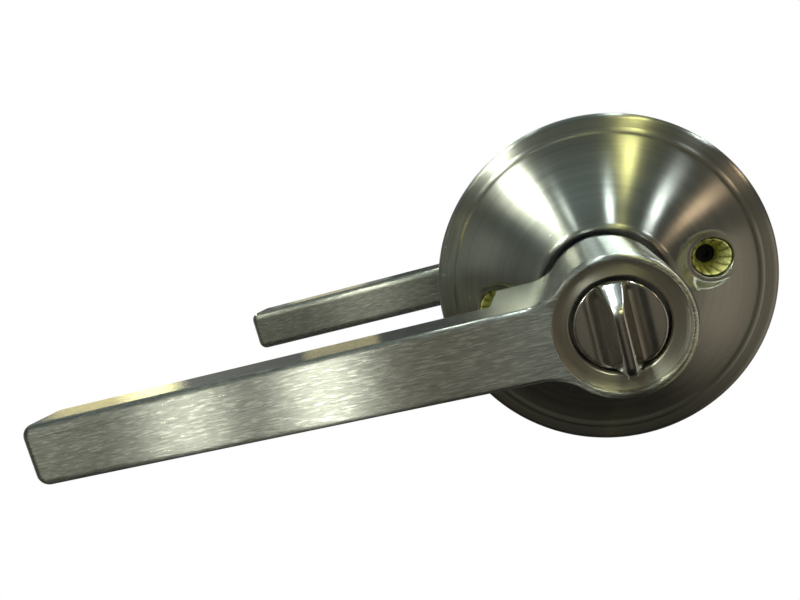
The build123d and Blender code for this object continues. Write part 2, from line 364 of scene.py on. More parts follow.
def lever_outline():
    """Bar, concave sweep and hub outline as three runs of (x, z) points."""
    cx = -math.sqrt((HUB_R + BLEND) ** 2 - (HALF + BLEND) ** 2)
    cz = HALF + BLEND
    upper = []
    for k in range(TIP_STEPS):
        a = math.pi - math.pi / 2 * k / (TIP_STEPS - 1)
        x = TIP_X + TIP_ROUND + TIP_ROUND * math.cos(a)
        upper.append((x, HALF - TIP_ROUND + TIP_ROUND * math.sin(a)))
    upper.append((ROOT_X, HALF))
    low = 1.5 * math.pi
    aim = math.atan2(-cz, -cx) % (2 * math.pi)
    for k in range(BLEND_STEPS + 1):
        a = low + (aim - low) * k / BLEND_STEPS
        upper.append((cx + BLEND * math.cos(a), cz + BLEND * math.sin(a)))
    hub_angle = math.atan2(cz, cx)
    hub = []
    for k in range(1, HUB_STEPS):
        a = hub_angle - 2 * hub_angle * k / HUB_STEPS
        hub.append((HUB_R * math.cos(a), HUB_R * math.sin(a)))
    lower = [(x, -z) for x, z in reversed(upper)]
    return upper, hub, lower


def outline_normals(points):
    """Outward normal at each point of the outline."""
    out = []
    for i, point in enumerate(points):
        before = Vector(points[i - 1])
        here = Vector(point)
        after = Vector(points[(i + 1) % len(points)])
        d = (here - before).normalized() + (after - here).normalized()
        d.normalize()
        out.append(Vector((-d.y, d.x)))
    return out


def lever_loop(bm, points, y):
    return [bm.verts.new((x, y, z)) for x, z in points]


def lever_front(bm, full, normals):
    """Crowned margin and rounded front edge; returns the innermost and outermost rings."""
    rings = []
    for k in range(-CROWN_STEPS, EDGE_STEPS + 1):
        t = math.pi / 2 * max(0, k) / EDGE_STEPS
        ring = []
        for (x, z), n in zip(full, normals):
            e = EDGE + (TIP_EDGE - EDGE) * ease((TIP_EDGE_FROM - x) / TIP_EDGE_RUN)
            narrow = ease((x - RIM_CROWN_FROM) / RIM_CROWN_RUN)
            margin = CROWN_WIDTH + (RIM_CROWN - CROWN_WIDTH) * narrow
            inset = e * (1 - math.sin(t)) - min(0, k) * margin / CROWN_STEPS
            fall = CROWN * max(0.0, 1 - inset / (e + margin)) ** 2
            y = FACE + min(e, e * (1 - math.cos(t)) * (1 - CROWN) + fall)
            ring.append(bm.verts.new((x - n.x * inset, y, z - n.y * inset)))
        rings.append(ring)
    for a, b in zip(rings, rings[1:]):
        bridge(bm, a, b)
    return rings[0], rings[-1]


def lever_bore(bm, margin):
    """Front face round the hub's counterbore, and the bore behind it; returns its last ring."""

    def ring_at(rad, y):
        return lever_loop(bm, [(c * rad, s * rad) for c, s in circle(BORE_STEPS)], y)

    last = ring_at(INSERT_R + BORE_LIP, FACE)
    edges = []
    for ring in (margin, last):
        for pair in zip(ring, ring[1:] + ring[:1]):
            edges.append(bm.edges.get(pair) or bm.edges.new(pair))
    bmesh.ops.triangle_fill(bm, edges=edges, use_beauty=True, use_dissolve=False)
    rows = []
    for k in range(1, 5):
        t = math.pi * k / 8
        rows.append((INSERT_R + BORE_LIP * (1 - math.sin(t)), FACE + BORE_LIP * (1 - math.cos(t))))
    for rad, y in rows + COUNTERBORE:
        ring = ring_at(rad, y)
        bridge(bm, last, ring)
        last = ring
    return last


def bar_back(bm, full, normals, side):
    """Rounded back of the bar; returns its upper and lower corners at the root."""
    count = len(full)
    walk = list(range(TIP_STEPS, -1, -1)) + list(range(count - 1, count - 2 - TIP_STEPS, -1))
    bar = [side[i] for i in walk]
    uppers, lowers = [], []
    for k in range(1, EDGE_STEPS + 1):
        t = math.pi / 2 * k / EDGE_STEPS
        inset = BAR_ROUND * (1 - math.cos(t))
        points = []
        for i in walk:
            (x, z), n = full[i], normals[i]
            points.append((x - n.x * inset, z - n.y * inset))
        points[0] = (ROOT_X, points[0][1])
        points[-1] = (ROOT_X, points[-1][1])
        ring = lever_loop(bm, points, BAR_BACK - BAR_ROUND + BAR_ROUND * math.sin(t))
        bridge(bm, bar, ring, closed=False)
        uppers.append(ring[0])
        lowers.append(ring[-1])
        bar = ring
    bm.faces.new(bar)
    return uppers, lowers


def lever_root(bm, full, side, corners, upper_count, hub_count):
    """Deep root and shank; returns the ring at the end of the shank."""
    uppers, lowers = corners
    keep = full[TIP_STEPS : len(full) - TIP_STEPS]
    front = side[TIP_STEPS : len(full) - TIP_STEPS]
    back = lever_loop(bm, keep, ROOT_BACK)
    bridge(bm, front, back, closed=False)
    bm.faces.new([front[0]] + uppers + lowers[::-1] + [front[-1], back[-1], back[0]])
    first = upper_count - TIP_STEPS - 1
    start = math.atan2(keep[first][1], keep[first][0])
    hidden = []
    for k in range(1, HIDDEN_STEPS):
        a = -start - (2 * math.pi - 2 * start) * k / HIDDEN_STEPS
        hidden.append((HUB_R * math.cos(a), HUB_R * math.sin(a)))
    arc = lever_loop(bm, hidden, ROOT_BACK)
    bm.faces.new(back[: first + 1] + arc[::-1] + back[first + hub_count + 1 :])
    last = back[first : first + hub_count + 2] + arc
    shape = [(v.co.x / HUB_R, v.co.z / HUB_R) for v in last]
    for rad, y in SHANK:
        ring = lever_loop(bm, [(x * rad, z * rad) for x, z in shape], y)
        bridge(bm, last, ring)
        last = ring
    return last


def weigh_root_edges(bm):
    """Marks the sharp back edges of the root and the sides of its heel for the bevel."""
    weight = bm.edges.layers.float.new("bevel_weight_edge")
    near = 1e-4
    bm.normal_update()
    for e in bm.edges:
        a, b = (v.co for v in e.verts)
        if len(e.link_faces) != 2 or e.link_faces[0].normal.dot(e.link_faces[1].normal) > 0.5:
            continue
        behind = abs(a.y - ROOT_BACK) < near and abs(b.y - ROOT_BACK) < near
        outside = max(math.hypot(a.x, a.z), math.hypot(b.x, b.z)) > HUB_R + 0.01
        heel = abs(a.x - ROOT_X) < near and abs(b.x - ROOT_X) < near and abs(a.z - b.z) < near
        if (behind and outside) or (heel and abs(abs(a.z) - HALF) < 1e-3):
            e[weight] = 0.6


def cut_set_screw_hole(obj, flip):
    """Bores the threaded hole under the hub, and applies the modifiers so far."""
    tool = bmesh.new()
    y = GRUB_Y if not flip else DOOR - GRUB_Y
    bmesh.ops.create_cone(
        tool,
        cap_ends=True,
        segments=48,
        radius1=GRUB_R * MM,
        radius2=GRUB_R * MM,
        depth=GRUB_LENGTH * MM,
        matrix=Matrix.Translation((0, y * MM, GRUB_Z * MM)),
    )
    mesh = bpy.data.meshes.new("grub_cutter")
    tool.to_mesh(mesh)
    tool.free()
    cutter = add_object("grub_cutter", mesh)
    mod = obj.modifiers.new("hole", "BOOLEAN")
    mod.operation = "DIFFERENCE"
    mod.solver = "EXACT"
    mod.object = cutter
    graph = bpy.context.evaluated_depsgraph_get()
    graph.update()
    mesh = bpy.data.meshes.new_from_object(obj.evaluated_get(graph))
    obj.modifiers.clear()
    obj.data = mesh
    bpy.data.objects.remove(cutter)
    smooth(mesh, 32.0)


def lever(name, flip):
    """Flat bar, deep root, round hub with its counterbore, and shank."""
    bm = bmesh.new()
    upper, hub, lower = lever_outline()
    full = upper + hub + lower
    normals = outline_normals(full)
    margin, edge = lever_front(bm, full, normals)
    side = lever_loop(bm, full, BAR_BACK - BAR_ROUND)
    bridge(bm, edge, side)
    front_end = lever_bore(bm, margin)
    corners = bar_back(bm, full, normals, side)
    back_end = lever_root(bm, full, side, corners, len(upper), len(hub))
    ends = []
    for ring in (front_end, back_end):
        ends += [bm.edges.get(pair) for pair in zip(ring, ring[1:] + ring[:1])]
    bmesh.ops.bridge_loops(bm, edges=ends)
    weigh_root_edges(bm)
    obj = finish_mesh(name, bm, 32.0, flip, weighted=False)
    bevel = obj.modifiers.new("edges", "BEVEL")
    bevel.limit_method = "WEIGHT"
    bevel.width = 1.0 * MM
    bevel.segments = 4
    bevel.use_clamp_overlap = True
    cut_set_screw_hole(obj, flip)
    weigh_normals(obj)
    return obj


# ------------------------------------------------------------------ turn button

# Heights are distances off the door face, half widths run each side of the grip ridge.
BUTTON_R = 7.08
BUTTON_FLAT = 48.0  # crescents each side
BUTTON_BACK = 45.0
RIM_R = 0.35
CREST = 52.2
CREST_W = 0.95
CREST_FALL = 0.05  # the crest is slightly domed
FLANK_LEAN = math.radians(74)
FOOT_W = 2.3
FLAT_W = 5.5
SECTION_W = 7.2  # sections run a little past the rim
TROUGH_DEPTH = 1.1
SLOPE_FROM = 3.2  # the ridge falls and widens above this z
SLOPE_BLEND = 1.1
NOSE_FROM = -7.0
NOSE_END = -7.38
NOSE_LENGTH = 1.6


def button_half_width(z):
    """Half width of the button's outline, with the ridge's nose at the bottom."""
    if z > NOSE_FROM:
        return math.sqrt(max(0.0, BUTTON_R**2 - z * z))
    start = math.sqrt(BUTTON_R**2 - NOSE_FROM**2)
    t = (NOSE_FROM - z) / (NOSE_FROM - NOSE_END)
    return start * math.sqrt(max(0.0, 1 - t * t))


def crest_line(z):
    """Height, half width and corner radius of the ridge's crest at z."""
    run = z - SLOPE_FROM
    drop = max(0.0, run)
    if abs(run) < SLOPE_BLEND:
        drop = (run + SLOPE_BLEND) ** 2 / (4 * SLOPE_BLEND)
    height = CREST - drop * 0.97
    width = CREST_W + drop * 0.36
    corner = 0.45 + drop * 0.30
    left = 1 - (z - NOSE_END) / NOSE_LENGTH
    if left > 0:
        height -= NOSE_LENGTH * (1 - math.sqrt(max(0.0, 1 - left**2))) * 0.8
        width -= 0.3 * left**2
    return height, width, corner


def trough(a):
    """Height of the face away from the ridge: it falls ever faster towards the ridge."""
    if a >= FLAT_W:
        return BUTTON_FLAT
    t = min(1.0, (FLAT_W - a) / (FLAT_W - FOOT_W))
    return BUTTON_FLAT - TROUGH_DEPTH * t**2.3


def height_at(points, a):
    """Linear look-up on a row's section."""
    for (a0, h0), (a1, h1) in zip(points, points[1:]):
        if a <= a1:
            return h0 + (h1 - h0) * (a - a0) / max(1e-6, a1 - a0)
    return points[-1][1]


def rim_fall(a, z, edge):
    """Drop of the rounded rim at (a, z)."""
    room = edge - a
    if z > 0 or a > 1.1:
        room = min(room, BUTTON_R - math.hypot(a, z))
    if room >= RIM_R:
        return 0.0
    return RIM_R - math.sqrt(max(0.0, RIM_R**2 - (RIM_R - max(0.0, room)) ** 2))


def button_rows():
    """The z of each row, closer together where the shape turns quickly."""
    rows = [NOSE_END + 0.38 * (1 - math.cos(math.pi / 2 * k / 8)) for k in range(9)]
    rows += [-6.92 + 0.08 * k for k in range(8)]
    rows += [-6.2 + 0.25 * k for k in range(37)]
    rows += [3.1 + 0.15 * k for k in range(24)]
    rows += [BUTTON_R - RIM_R * (1 - math.sin(math.pi / 2 * k / 7)) for k in range(1, 7)]
    return sorted({round(z, 4) for z in rows if z < BUTTON_R - 0.002})


def button_section(z):
    """Half section at z, from the middle of the crest over flank and trough to the flat."""
    height, width, corner = crest_line(z)
    foot = max(FOOT_W, width + 0.7)
    base = trough(foot)
    corner = min(corner, (height - base) * 0.75, width - 0.1)
    points = []
    for k in range(5):
        q = k / 4
        points.append((q * (width - corner), height - CREST_FALL * q * q))
    for k in range(1, 8):
        t = FLANK_LEAN * k / 7
        across = width - corner + corner * math.sin(t)
        points.append((across, height - CREST_FALL - corner * (1 - math.cos(t))))
    start, shoulder = points[-1]
    reach, drop = foot - start, shoulder - base
    steep = max(1.0, min(math.tan(FLANK_LEAN) * reach / drop, 3.2))
    for k in range(1, 15):
        q = k / 14
        points.append((start + reach * q, shoulder - drop * (1 - (1 - q) ** steep)))
    for k in range(1, 15):
        a = foot + (FLAT_W - foot) * k / 14
        points.append((a, trough(a)))
    for k in range(1, 5):
        points.append((FLAT_W + (SECTION_W - FLAT_W) * k / 4, BUTTON_FLAT))
    return points


def turn_button():
    """Button face with crescents, scooped troughs and a grip ridge, on fitted rows."""
    bm = bmesh.new()
    grid = []
    for z in button_rows():
        edge = button_half_width(z)
        points = button_section(z)
        inner = max(0.0, edge - RIM_R)
        line = [(a, h) if a <= inner else (inner, height_at(points, inner)) for a, h in points]
        for k in range(1, 7):
            a = inner + (edge - inner) * math.sin(math.pi / 2 * k / 6)
            line.append((a, height_at(points, a)))
        line = [(a, h - rim_fall(a, z, edge)) for a, h in line]
        row = [bm.verts.new((-a, -h, z)) for a, h in reversed(line)]
        row += [bm.verts.new((a, -h, z)) for a, h in line[1:]]
        grid.append(row)
    for p, q in zip(grid, grid[1:]):
        for i in range(len(p) - 1):
            bm.faces.new((p[i], p[i + 1], q[i + 1], q[i]))
    rim = grid[0] + [row[-1] for row in grid[1:-1]]
    rim += grid[-1][::-1] + [row[0] for row in grid[-2:0:-1]]
    back = [bm.verts.new((v.co.x, -BUTTON_BACK, v.co.z)) for v in rim]
    for i in range(len(rim)):
        j = (i + 1) % len(rim)
        bm.faces.new((rim[i], back[i], back[j], rim[j]))
    bm.faces.new(back)
    bmesh.ops.remove_doubles(bm, verts=bm.verts, dist=0.004)
    bmesh.ops.dissolve_degenerate(bm, edges=bm.edges, dist=0.002)
    return finish_mesh("turn_button_skin", bm, 60.0, weighted=False)


# ------------------------------------------------------------------ screw cups

CUP_MOUTH = -5.38
PETALS = 12
CUP = [  # radius, y and rounding, from the back round the mouth, funnel, throat and neck
    (3.85, -1.52, 0),
    (3.85, CUP_MOUTH, 0.3),
    (3.5, CUP_MOUTH, 0.12),
    (3.05, -3.6, 0.3),
    (2.0, 0.8, 0.3),
    (2.0, 4.0, 0),
    (1.56, 4.0, 0),
    (1.56, 4.98, 0),
    (2.9, 4.98, 0.3),
    (2.9, -1.52, 0),
]


def petals(r, y, a):
    """Folds the funnel into leaves, with a slit between each pair."""
    if r > 3.62 or y > 0.5 or r < 2.02:
        return r, y
    half = math.pi / PETALS
    off = (a % (2 * half)) - half
    deep = min(1.0, (0.5 - y) / 3.0)
    dish = 0.22 * deep * (1 - (off / half) ** 2)
    lip = max(0.0, 1 - abs(y - CUP_MOUTH) / 2.2)
    slit = max(0.0, 1 - (half - abs(off)) / 0.07)
    return min(3.75, r - 0.15 * deep + dish), y + 0.75 * slit * lip


def screw_cup(side):
    """Flared sleeve: petalled mouth, conical funnel, dark throat and a neck through the plate."""
    x = HOLE_X if side == "right" else -HOLE_X
    profile = fillet_path(CUP)
    return lathe(f"screw_cup_{side}", profile, steps=240, x=x, wobble=petals, sharp=28.0)


# ------------------------------------------------------------------ materials


def wire(tree, value, socket):
    """Links a node's output to a socket, or sets the socket to a plain value."""
    if isinstance(value, (int, float)):
        socket.default_value = value
    elif isinstance(value, tuple):
        socket.default_value = (*value, 1.0)
    else:
        tree.links.new(value, socket)


def new_material(name):
    mat = bpy.data.materials.new(name)
    mat.use_nodes = True
    tree = mat.node_tree
    tree.nodes.clear()
    return mat, tree, tree.nodes.new("ShaderNodeOutputMaterial")


def new_principled(name):
    mat, tree, out = new_material(name)
    bsdf = tree.nodes.new("ShaderNodeBsdfPrincipled")
    tree.links.new(bsdf.outputs[0], out.inputs[0])
    return mat, tree, bsdf


def coordinates(tree, kind="Object"):
    return tree.nodes.new("ShaderNodeTexCoord").outputs[kind]


def axes_of(tree, vector):
    """The x, y and z of a vector."""
    node = tree.nodes.new("ShaderNodeSeparateXYZ")
    tree.links.new(vector, node.inputs[0])
    return tuple(node.outputs)


def maths(tree, op, a, b=None):
    node = tree.nodes.new("ShaderNodeMath")
    node.operation = op
    wire(tree, a, node.inputs[0])
    if b is not None:
        wire(tree, b, node.inputs[1])
    return node.outputs[0]


def times(tree, a, b):
    return maths(tree, "MULTIPLY", a, b)


def plus(tree, a, b):
    return maths(tree, "ADD", a, b)


def minus(tree, a, b):
    return maths(tree, "SUBTRACT", a, b)


def length_of(tree, a, b):
    """Length of the vector (a, b)."""
    return maths(tree, "SQRT", plus(tree, times(tree, a, a), times(tree, b, b)))


def noise(tree, vector, scale, detail, rough):
    node = tree.nodes.new("ShaderNodeTexNoise")
    node.inputs["Scale"].default_value = scale
    node.inputs["Detail"].default_value = detail
    node.inputs["Roughness"].default_value = rough
    tree.links.new(vector, node.inputs["Vector"])
    return node.outputs[0]


def ramp(tree, fac, stops):
    node = tree.nodes.new("ShaderNodeValToRGB")
    elements = node.color_ramp.elements
    while len(elements) < len(stops):
        elements.new(0.5)
    for element, (position, colour) in zip(elements, stops):
        element.position = position
        element.color = (*colour, 1.0)
    tree.links.new(fac, node.inputs[0])
    return node.outputs[0]


def spread(tree, fac, low, high, out_low, out_high):
    """Maps low..high to out_low..out_high, clamped."""
    node = tree.nodes.new("ShaderNodeMapRange")
    for i, v in enumerate((low, high, out_low, out_high)):
        node.inputs[i + 1].default_value = v
    tree.links.new(fac, node.inputs[0])
    return node.outputs[0]


def mix_colour(tree, fac, a, b, mode="MIX"):
    node = tree.nodes.new("ShaderNodeMix")
    node.data_type = "RGBA"
    node.blend_type = mode
    node.clamp_factor = True
    for index, v in ((0, fac), (6, a), (7, b)):
        wire(tree, v, node.inputs[index])
    return node.outputs[2]


def scaled(tree, axes, *scales):
    """A vector of three values, each times its scale."""
    node = tree.nodes.new("ShaderNodeCombineXYZ")
    for i, (value, scale) in enumerate(zip(axes, scales)):
        wire(tree, times(tree, value, scale), node.inputs[i])
    return node.outputs[0]


def surface_bump(tree, bsdf, height, strength, distance):
    bump = tree.nodes.new("ShaderNodeBump")
    wire(tree, strength, bump.inputs["Strength"])
    bump.inputs["Distance"].default_value = distance
    tree.links.new(height, bump.inputs["Height"])
    tree.links.new(bump.outputs[0], bsdf.inputs["Normal"])


def turn_space(tree, kind, source, target):
    """Vector transform node from one space to another."""
    node = tree.nodes.new("ShaderNodeVectorTransform")
    node.vector_type = kind
    node.convert_from = source
    node.convert_to = target
    return node


def turned_grain(tree, axes):
    """Fine and broad ring patterns about the spindle axis."""
    x, y, z = axes
    r = minus(tree, length_of(tree, x, z), times(tree, y, 0.7))
    span = plus(tree, maths(tree, "ABSOLUTE", r), 0.004)
    ring = (r, maths(tree, "DIVIDE", z, span), maths(tree, "DIVIDE", x, span))
    return scaled(tree, ring, 900.0, 0.45, 0.45), scaled(tree, ring, 150.0, 0.3, 0.3)


def level_faces(tree, axes):
    """How far a face of the lever faces up or down, and 0 on the hub to 1 on the bar."""
    facing = tree.nodes.new("ShaderNodeNewGeometry")
    local = turn_space(tree, "NORMAL", "WORLD", "OBJECT")
    tree.links.new(facing.outputs["Normal"], local.inputs[0])
    level = maths(tree, "ABSOLUTE", axes_of(tree, local.outputs[0])[2])
    return level, spread(tree, length_of(tree, axes[0], axes[2]), 0.0120, 0.0145, 0.0, 1.0)


def grain_tangent(tree, lengthwise):
    """Direction across the bar's length, or round the spindle axis."""
    if not lengthwise:
        tangent = tree.nodes.new("ShaderNodeTangent")
        tangent.direction_type = "RADIAL"
        tangent.axis = "Y"
        return tangent.outputs[0]
    axis = turn_space(tree, "VECTOR", "OBJECT", "WORLD")
    axis.inputs[0].default_value = (1.0, 0.0, 0.0)
    shape = tree.nodes.new("ShaderNodeNewGeometry")
    across = tree.nodes.new("ShaderNodeVectorMath")
    across.operation = "CROSS_PRODUCT"
    tree.links.new(shape.outputs["Normal"], across.inputs[0])
    tree.links.new(axis.outputs[0], across.inputs[1])
    return across.outputs[0]


def brushed(name, tint, dark, rough, lengthwise, strength, anisotropy, specks=True):
    """Metal brushed along X (lengthwise) or turned in rings about the spindle axis."""
    mat, tree, bsdf = new_principled(name)
    coord = coordinates(tree)
    axes = axes_of(tree, coord)
    if lengthwise:
        lines = scaled(tree, axes, 45.0, 1700.0, 1700.0)
        dashes = scaled(tree, axes, 170.0, 1900.0, 1900.0)
        wide = scaled(tree, axes, 30.0, 420.0, 420.0)
    else:
        lines, wide = turned_grain(tree, axes)
        dashes = lines
    fine = noise(tree, lines, 2.2, 3.0, 0.65)
    short = noise(tree, dashes, 2.2, 3.0, 0.65)
    broad = times(tree, noise(tree, wide, 2.0, 4.0, 0.5), 0.2)
    cloud = noise(tree, coord, 55.0, 3.0, 0.5)
    height = plus(tree, times(tree, fine, 0.8), broad)
    tone = plus(tree, times(tree, short, 0.8), broad)
    colour = ramp(tree, tone, [(0.3, dark), (0.68, tint)])
    cloudy = spread(tree, cloud, 0.35, 0.7, 0.0, 0.35)
    colour = mix_colour(tree, cloudy, colour, tuple(c * 0.82 for c in tint))
    roughness = spread(tree, tone, 0.3, 0.7, rough * 0.92, rough * 1.12)
    if lengthwise:
        ticks = noise(tree, scaled(tree, axes, 420.0, 3600.0, 3600.0), 1.0, 2.0, 0.5)
        glint = spread(tree, ticks, 0.52, 0.66, 0.0, 0.6)
        colour = mix_colour(tree, glint, colour, (0.99, 0.98, 0.87))
        roughness = times(tree, roughness, minus(tree, 1.0, times(tree, glint, 0.15)))
        level, bar = level_faces(tree, axes)
        polish = times(tree, spread(tree, level, 0.55, 0.9, 0.0, 0.52), bar)
        roughness = times(tree, roughness, minus(tree, 1.0, polish))
        strength = spread(tree, level, 0.4, 0.8, strength, strength * 0.15)
        strength = times(tree, strength, spread(tree, bar, 0.0, 1.0, 0.2, 1.0))
    if specks:
        pits = tree.nodes.new("ShaderNodeTexVoronoi")
        pits.inputs["Scale"].default_value = 420.0
        tree.links.new(coord, pits.inputs["Vector"])
        core = maths(tree, "LESS_THAN", pits.outputs["Distance"], 0.10)
        gate = maths(tree, "GREATER_THAN", noise(tree, coord, 160.0, 2.0, 0.5), 0.61)
        dots = times(tree, core, gate)
        colour = mix_colour(tree, dots, colour, tuple(min(1.0, c * 1.4) for c in tint))
        height = plus(tree, height, times(tree, dots, 1.2))
    surface_bump(tree, bsdf, height, strength, 0.04 * MM)
    tree.links.new(colour, bsdf.inputs["Base Color"])
    tree.links.new(roughness, bsdf.inputs["Roughness"])
    bsdf.inputs["Metallic"].default_value = 1.0
    if anisotropy:
        bsdf.inputs["Anisotropic"].default_value = anisotropy
        bsdf.inputs["Anisotropic Rotation"].default_value = 0.0 if lengthwise else 0.25
        tree.links.new(grain_tangent(tree, lengthwise), bsdf.inputs["Tangent"])
    return mat


def painted_fold_shade(tree, axes, colour):
    """Painted shade: darkens the colour towards the folds between the cup's leaves, where y is below -0.8
    mm.
    """
    x, y, z = axes
    across = minus(tree, maths(tree, "ABSOLUTE", x), HOLE_X * MM)
    turn = times(tree, maths(tree, "ARCTAN2", z, across), PETALS / (2 * math.pi))
    wave = maths(tree, "PINGPONG", plus(tree, turn, times(tree, y, 110.0)), 0.5)
    # painted shade: dark in the folds, full colour across the middle of each leaf
    stops = [(0.03, (0.22, 0.22, 0.12)), (0.10, (0.62, 0.62, 0.55)), (0.34, (1.0, 1.0, 1.0))]
    shaded = mix_colour(tree, 1.0, colour, ramp(tree, wave, stops), "MULTIPLY")
    return mix_colour(tree, maths(tree, "LESS_THAN", y, -0.0008), colour, shaded)


def plated(
    name, tint, second, rough, metallic=1.0, scale=240.0, bump=0.02, fleck=0.35, leaves=False
):
    """Plated or plain part: mottled colour, uneven gloss and a fine surface grain; with leaves, painted
    shade in the folds between the cup's leaves.
    """
    mat, tree, bsdf = new_principled(name)
    coord = coordinates(tree)
    big = noise(tree, coord, scale * 0.4, 4.0, 0.6)
    small = noise(tree, coord, scale * 5.0, 5.0, 0.65)
    both = plus(tree, times(tree, big, 1 - fleck), times(tree, small, fleck))
    colour = ramp(tree, both, [(0.34, second), (0.66, tint)])
    # leaves adds painted shade in the folds between the cup's leaves
    if leaves:
        colour = painted_fold_shade(tree, axes_of(tree, coord), colour)
    tree.links.new(colour, bsdf.inputs["Base Color"])
    roughness = spread(tree, both, 0.3, 0.7, rough * 1.3, rough * 0.75)
    tree.links.new(roughness, bsdf.inputs["Roughness"])
    surface_bump(tree, bsdf, small, 0.3, bump * MM)
    bsdf.inputs["Metallic"].default_value = metallic
    return mat


BRUSHED = {
    "rose_nickel": dict(
        tint=(0.60, 0.61, 0.56),
        dark=(0.45, 0.455, 0.41),
        rough=0.30,
        lengthwise=False,
        strength=0.08,
        anisotropy=1.0,
    ),
    "lever_nickel": dict(
        tint=(0.72, 0.72, 0.64),
        dark=(0.32, 0.32, 0.27),
        rough=0.31,
        lengthwise=True,
        strength=0.6,
        anisotropy=1.0,
        specks=False,
    ),
    "insert_nickel": dict(
        tint=(0.72, 0.69, 0.60),
        dark=(0.56, 0.53, 0.46),
        rough=0.38,
        lengthwise=False,
        strength=0.25,
        anisotropy=0.8,
    ),
    "raw_steel": dict(
        tint=(0.50, 0.50, 0.50),
        dark=(0.36, 0.36, 0.37),
        rough=0.34,
        lengthwise=False,
        strength=0.3,
        anisotropy=0.0,
    ),
}
PLATED = {
    "button_nickel": dict(
        tint=(0.68, 0.66, 0.62), second=(0.60, 0.58, 0.54), rough=0.22, bump=0.0002, fleck=0.0
    ),
    "zinc_plate": dict(tint=(0.60, 0.62, 0.66), second=(0.44, 0.47, 0.52), rough=0.32),
    "nylon": dict(tint=(0.82, 0.80, 0.72), second=(0.72, 0.70, 0.62), rough=0.42, metallic=0.0),
    "spring_steel": dict(tint=(0.34, 0.34, 0.36), second=(0.20, 0.20, 0.22), rough=0.30),
    "black_steel": dict(tint=(0.05, 0.05, 0.055), second=(0.02, 0.02, 0.025), rough=0.4),
    "yellow_zinc": dict(
        tint=(1.0, 1.0, 0.50),
        second=(0.75, 0.75, 0.25),
        rough=0.3,
        metallic=0.4,
        scale=320.0,
        # leaves: painted shade in the folds of the cups' petalled mouths
        leaves=True,
    ),
}
mats = {name: brushed(name, **look) for name, look in BRUSHED.items()}
mats.update({name: plated(name, **look) for name, look in PLATED.items()})
slot_of = {s["node"]: s["material_slot"] for s in frame["record"]["subparts"]}
for node, obj in frame["nodes"].items():
    mat = mats[slot_of[node]]
    if obj.data.materials:
        for i in range(len(obj.data.materials)):
            obj.material_slots[i].link = "OBJECT"
            obj.material_slots[i].material = mat
    else:
        obj.data.materials.append(mat)

# ------------------------------------------------------------------ pieces


def place(obj, body, node, slot):
    obj.data.materials.append(mats[slot])
    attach(obj, body)
    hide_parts(node)


def hub_insert(name, hole_r, hole_round, flip):
    """Ring in the hub's counterbore."""
    outer_r, back = 10.28, -45.95
    points = [(outer_r, back, 0), (outer_r, INSERT_Y, 0.08)]
    points += [(hole_r, INSERT_Y, hole_round), (hole_r, back, 0)]
    return lathe(name, fillet_path(points), flip=flip)


place(rose("inner_rose_skin", True, False), "chassis", "interior_rose", "rose_nickel")
place(rose("outer_rose_skin", False, True), "outer_half", "exterior_rose", "rose_nickel")
place(lever("inner_lever_skin", False), "inner_lever", "interior_lever", "lever_nickel")
place(lever("outer_lever_skin", True), "outer_lever", "exterior_lever", "lever_nickel")
inner_insert = hub_insert("inner_insert_skin", 7.75, 0.25, False)
place(inner_insert, "inner_lever", "interior_hub_insert", "insert_nickel")
outer_insert = hub_insert("outer_insert_skin", 3.2, 0.35, True)
place(outer_insert, "outer_lever", "exterior_hub_insert", "insert_nickel")
place(turn_button(), "privacy_turn", "turn_button", "button_nickel")
for side in ("right", "left"):
    place(screw_cup(side), "chassis", "screw_cups", "yellow_zinc")

# ------------------------------------------------------------------ stage, light, camera, in metres

FLOOR_Z = -0.32
SWEEP_Y, SWEEP_R = 1.2, 0.8  # the floor turns up into the wall behind the lock
SWEEP_STEPS = 16
FLOOR_HALF = 5.0


def sweep_light(tree):
    """What the sweep gives off to the metal: lit zones of floor by direction, and a wall behind.

    Returns its strength, and where the wall is."""
    x, y, _ = axes_of(tree, coordinates(tree))
    far = length_of(tree, x, y)
    ahead = maths(tree, "MAXIMUM", times(tree, y, -1.0), 0.05)
    side = maths(tree, "DIVIDE", x, ahead)
    off_middle = maths(tree, "ABSOLUTE", minus(tree, side, 0.07))
    middle = times(
        tree,
        spread(tree, off_middle, 0.12, 0.24, 1.0, 0.0),
        spread(tree, far, 0.85, 1.25, 0.0, 0.15),
    )
    right = times(
        tree,
        spread(tree, side, 0.45, 0.85, 0.0, 1.0),
        spread(tree, far, 0.1, 0.4, 0.0, 0.42),
    )
    left = times(
        tree,
        spread(tree, side, -0.9, -0.65, 1.0, 0.0),
        spread(tree, far, 0.6, 1.2, 0.0, 0.10),
    )
    room = plus(tree, plus(tree, middle, right), plus(tree, left, 0.01))
    behind = maths(tree, "GREATER_THAN", y, 0.0)
    wall = times(tree, behind, spread(tree, x, -1.6, -0.5, 0.26, 0.07))
    return plus(tree, times(tree, room, minus(tree, 1.0, behind)), wall), behind


